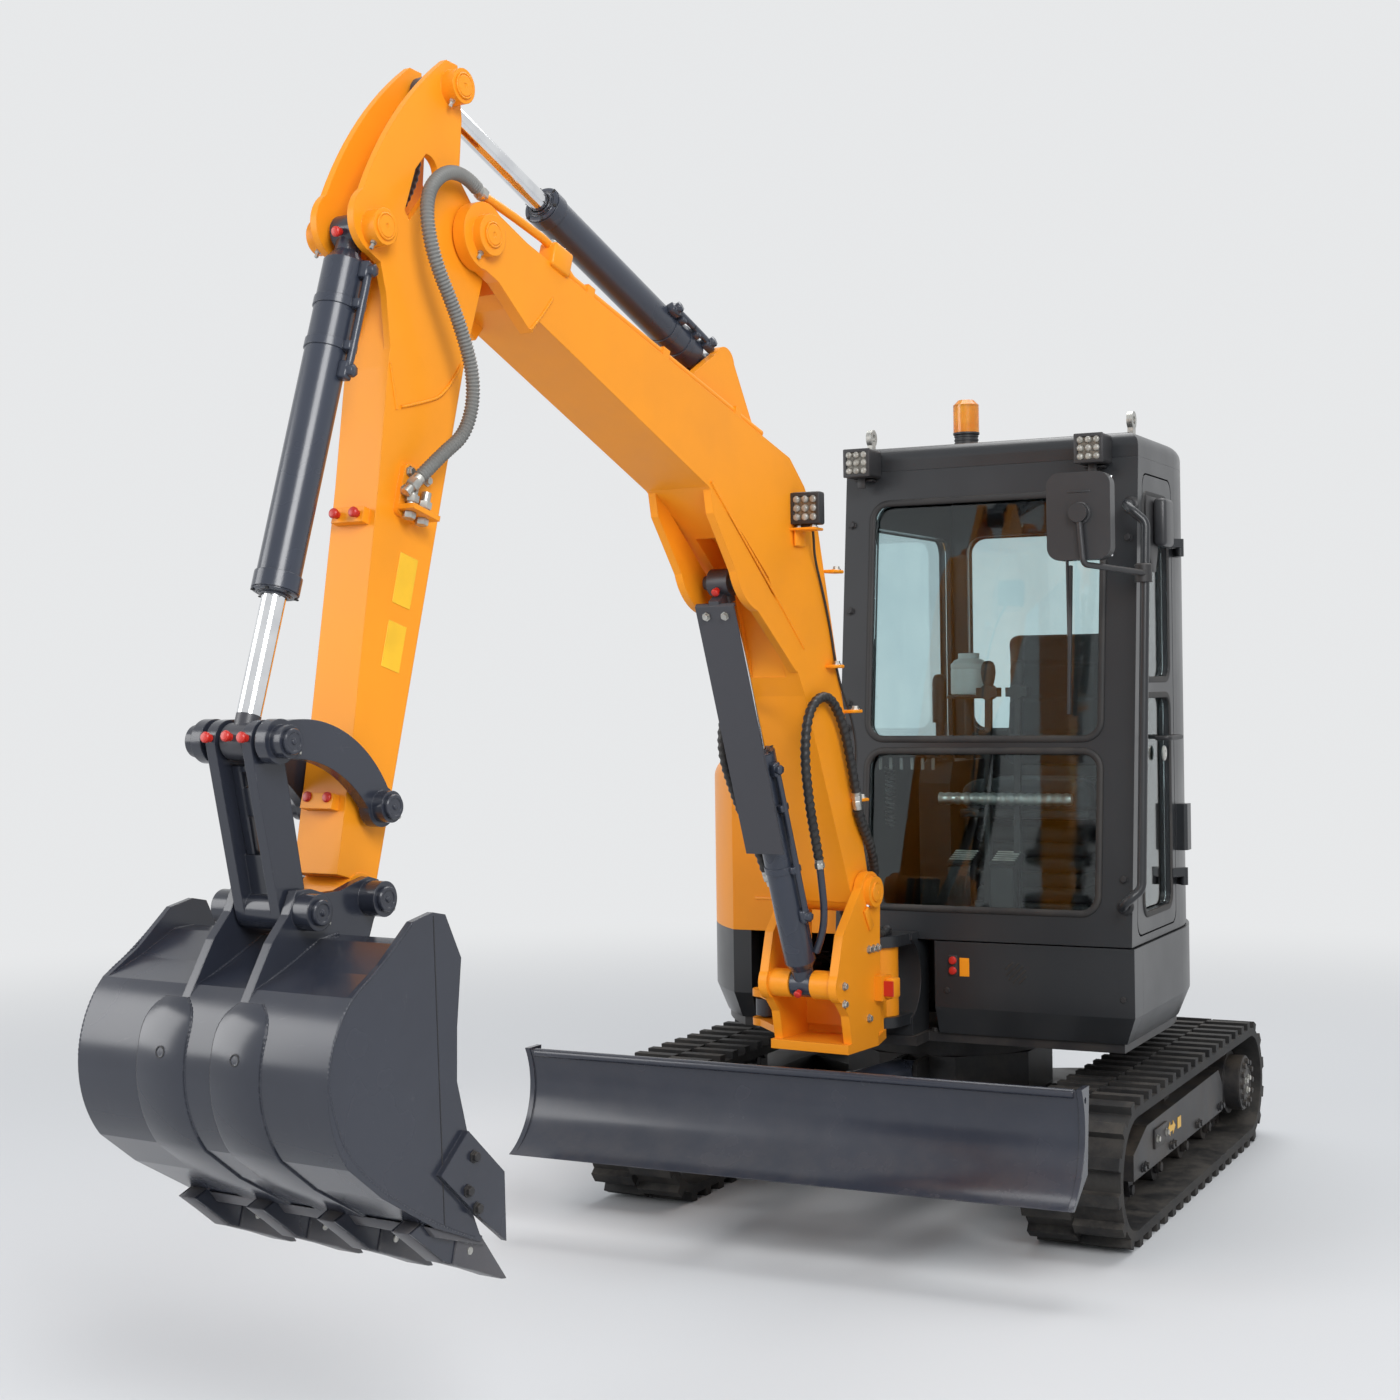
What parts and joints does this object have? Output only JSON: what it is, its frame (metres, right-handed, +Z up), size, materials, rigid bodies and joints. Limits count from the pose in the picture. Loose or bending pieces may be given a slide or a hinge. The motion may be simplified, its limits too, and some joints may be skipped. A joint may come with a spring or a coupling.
{
  "type": "compact crawler excavator",
  "caption": "Compact tracked excavator with a cab, swing boom, arm and toothed bucket, a dozer blade and rubber tracks; slews, digs and folds on hydraulic cylinders.",
  "frame": {"origin": "on the ground, under the middle of the whole machine as it is parked", "axes": "+Z up, -Y towards the bucket, +X to the machine's left"},
  "size_m": [1.756, 4.6241, 3.0872],
  "materials": {
    "orange_paint": "semi-gloss",
    "grey_paint": "semi-gloss",
    "chrome": "polished",
    "rubber": "dusty matte",
    "glass": "clear tinted",
    "plastic": "matte",
    "amber": "clear gloss"
  },
  "bodies": {
    "undercarriage": {"undercarriage_frame": "grey_paint", "side_frames": "grey_paint", "track_left": "rubber", "track_right": "rubber", "front_idlers": "grey_paint", "drive_sprockets": "grey_paint", "travel_motors": "grey_paint", "track_rollers": "grey_paint", "slew_ring": "grey_paint"},
    "upper": {"revolving_frame": "grey_paint", "swing_post": "grey_paint", "front_skirt": "grey_paint", "side_skirts": "grey_paint", "counterweight": "grey_paint", "side_hood": "orange_paint", "engine_block": "grey_paint", "cab_frame": "grey_paint", "cab_roof": "grey_paint", "cab_glass": "glass", "operator_seat": "plastic", "cab_controls": "plastic", "cab_work_lamps": "plastic", "beacon": "amber", "lifting_eyes": "grey_paint", "grab_rail": "grey_paint", "front_mirror": "plastic"},
    "blade": {"dozer_blade": "grey_paint", "blade_arms": "grey_paint"},
    "blade_cyl_barrel": {"blade_cylinder_barrel": "grey_paint"},
    "blade_cyl_rod": {"blade_cylinder_rod": "chrome"},
    "bracket": {"swing_bracket": "orange_paint"},
    "swing_cyl_barrel": {"swing_cylinder_barrel": "grey_paint"},
    "swing_cyl_rod": {"swing_cylinder_rod": "chrome"},
    "boom": {"boom": "orange_paint", "boom_pipes": "orange_paint"},
    "boom_cyl_barrel": {"boom_cylinder_barrel": "grey_paint"},
    "boom_cyl_rod": {"boom_cylinder_rod": "chrome"},
    "arm": {"arm": "orange_paint"},
    "arm_cyl_barrel": {"arm_cylinder_barrel": "grey_paint"},
    "arm_cyl_rod": {"arm_cylinder_rod": "chrome"},
    "bucket": {"bucket": "grey_paint"},
    "guide": {"guide_links": "grey_paint"},
    "h_link": {"h_link": "grey_paint"},
    "bucket_cyl_barrel": {"bucket_cylinder_barrel": "grey_paint"},
    "bucket_cyl_rod": {"bucket_cylinder_rod": "chrome"},
    "door": {"cab_door": "grey_paint", "door_glass": "glass"},
    "rear_hood": {"rear_hood": "orange_paint"}
  },
  "joints": [
    {"name": "slew", "type": "hinge", "parent": "undercarriage", "child": "upper", "pos_m": [0, 1.366, 0.43], "axis": [0, 0, 1], "continuous": true},
    {"name": "blade", "type": "hinge", "parent": "undercarriage", "child": "blade", "pos_m": [0, 0.806, 0.25], "axis": [-1, 0, 0], "range_deg": [-35, 6]},
    {"name": "blade_barrel", "type": "hinge", "parent": "undercarriage", "child": "blade_cyl_barrel", "pos_m": [0, 0.956, 0.396], "axis": [-1, 0, 0], "range_deg": [-29, 6]},
    {"name": "blade_rod", "type": "slide", "parent": "blade_cyl_barrel", "child": "blade_cyl_rod", "axis": [0, -0.9982, 0.0594], "range_m": [-0.016, 0.08]},
    {"name": "boom_swing", "type": "hinge", "parent": "upper", "child": "bracket", "pos_m": [0.036, 0.601, 0.738], "axis": [0, 0, 1], "range_deg": [-44, 76]},
    {"name": "swing_barrel", "type": "hinge", "parent": "upper", "child": "swing_cyl_barrel", "pos_m": [-0.52, 1.486, 0.656], "axis": [0, 0, 1], "range_deg": [-6, 9]},
    {"name": "swing_rod", "type": "slide", "parent": "swing_cyl_barrel", "child": "swing_cyl_rod", "axis": [0.2318, -0.9728, 0], "range_m": [-0.222, 0.38]},
    {"name": "boom", "type": "hinge", "parent": "bracket", "child": "boom", "pos_m": [0.00811, 0.32641, 1.043], "axis": [-0.9949, 0.1011, 0], "range_deg": [-84, 25]},
    {"name": "boom_barrel", "type": "hinge", "parent": "bracket", "child": "boom_cyl_barrel", "pos_m": [-0.00958, 0.15223, 0.78114], "axis": [-0.9949, 0.1011, 0], "range_deg": [-83, 26]},
    {"name": "boom_rod", "type": "slide", "parent": "boom_cyl_barrel", "child": "boom_cyl_rod", "axis": [-0.0348, -0.343, 0.9387], "range_m": [-0.395, 0.12]},
    {"name": "arm", "type": "hinge", "parent": "boom", "child": "arm", "pos_m": [-0.17185, -1.44528, 2.69783], "axis": [0.9949, -0.1011, 0], "range_deg": [-70, 30]},
    {"name": "arm_barrel", "type": "hinge", "parent": "boom", "child": "arm_cyl_barrel", "pos_m": [-0.06192, -0.36303, 2.53606], "axis": [-0.9949, 0.1011, 0], "range_deg": [-4, 7]},
    {"name": "arm_rod", "type": "slide", "parent": "arm_cyl_barrel", "child": "arm_cyl_rod", "axis": [-0.093, -0.916, 0.3903], "range_m": [-0.352, 0.154]},
    {"name": "bucket", "type": "hinge", "parent": "arm", "child": "bucket", "pos_m": [-0.21432, -1.86338, 1.22252], "axis": [-0.9949, 0.1011, 0], "range_deg": [-110, 55]},
    {"name": "guide_link", "type": "hinge", "parent": "arm", "child": "guide", "pos_m": [-0.21129, -1.83347, 1.41567], "axis": [-0.9949, 0.1011, 0], "range_deg": [-75, 38]},
    {"name": "bucket_link", "type": "hinge", "parent": "bucket", "child": "h_link", "pos_m": [-0.23471, -2.06413, 1.21301], "axis": [-0.9949, 0.1011, 0], "range_deg": [-35, 68]},
    {"name": "bucket_barrel", "type": "hinge", "parent": "arm", "child": "bucket_cyl_barrel", "pos_m": [-0.20655, -1.7869, 2.66047], "axis": [-0.9949, 0.1011, 0], "range_deg": [-4, 2]},
    {"name": "bucket_rod", "type": "slide", "parent": "bucket_cyl_barrel", "child": "bucket_cyl_rod", "axis": [-0.0309, -0.304, -0.9522], "range_m": [-0.195, 0.39]},
    {"name": "cab_door", "type": "hinge", "parent": "upper", "child": "door", "pos_m": [0.845, 1.258, 1.6], "axis": [0, 0, 1], "range_deg": [0, 160]},
    {"name": "rear_hood", "type": "hinge", "parent": "upper", "child": "rear_hood", "pos_m": [0, 1.812, 1.247], "axis": [1, 0, 0], "range_deg": [0, 70]}
  ],
  "couplings": [
    {"joint": "blade_barrel", "follows": "blade", "ratio": 0.78},
    {"joint": "blade_rod", "follows": "blade", "m_per_rad": -0.1232},
    {"joint": "swing_barrel", "follows": "boom_swing", "ratio": 0.11},
    {"joint": "swing_rod", "follows": "boom_swing", "m_per_rad": 0.2807},
    {"joint": "boom_barrel", "follows": "boom", "ratio": 0.97},
    {"joint": "boom_rod", "follows": "boom", "m_per_rad": 0.2636},
    {"joint": "arm_barrel", "follows": "arm", "ratio": -0.07},
    {"joint": "arm_rod", "follows": "arm", "m_per_rad": 0.2836},
    {"joint": "guide_link", "follows": "bucket", "ratio": 0.66},
    {"joint": "bucket_link", "follows": "bucket", "ratio": -0.6},
    {"joint": "bucket_barrel", "follows": "bucket", "ratio": 0.03},
    {"joint": "bucket_rod", "follows": "bucket", "m_per_rad": -0.2005}
  ]
}
